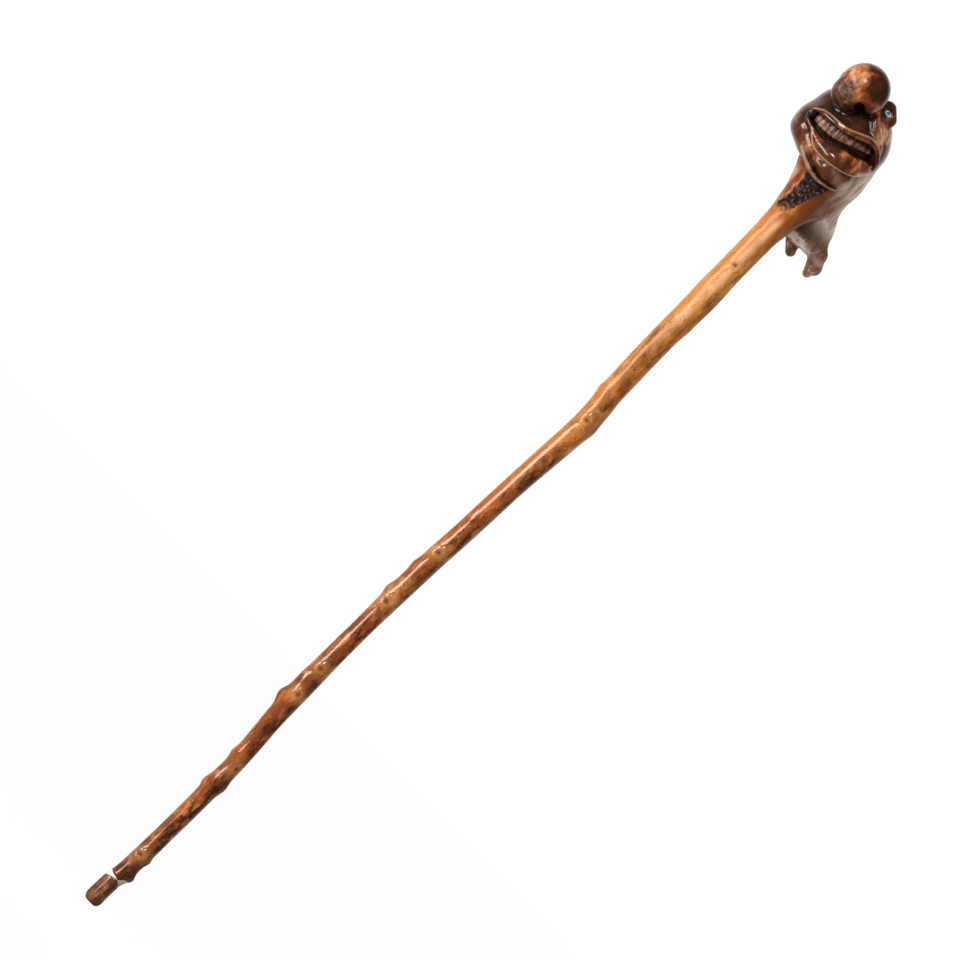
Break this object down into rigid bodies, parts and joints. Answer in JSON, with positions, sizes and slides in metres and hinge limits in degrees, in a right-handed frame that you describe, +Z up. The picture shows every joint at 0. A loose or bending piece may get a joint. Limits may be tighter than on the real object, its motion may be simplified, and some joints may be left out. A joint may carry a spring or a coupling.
{
  "type": "carved walking stick",
  "caption": "Knotty wooden walking stick whose root crown is carved into a grinning head with a ball nose, with a white collar above a rounded end piece.",
  "frame": {"origin": "centre of the worn flat at the foot of the stick", "axes": "+Z up along the stick to the head, the carved face looks to -Y, +X to the right of the face as it is seen from the front"},
  "size_m": [0.1037, 0.1046, 0.9182],
  "materials": {
    "varnished_wood": "high-gloss varnish over mottled orange to dark brown wood",
    "dark_wood": "high-gloss varnish over dark brown wood",
    "bone": "polished cream bone",
    "dowel_wood": "bare wood",
    "iris_bead": "glossy teal bead"
  },
  "bodies": {
    "root": {"stick_wood": "varnished_wood", "tip_piece": "dark_wood", "tip_collar": "bone", "tip_dowel": "dowel_wood", "eye_white_right": "bone", "eye_white_left": "bone", "iris_right": "iris_bead", "iris_left": "iris_bead"}
  },
  "joints": []
}
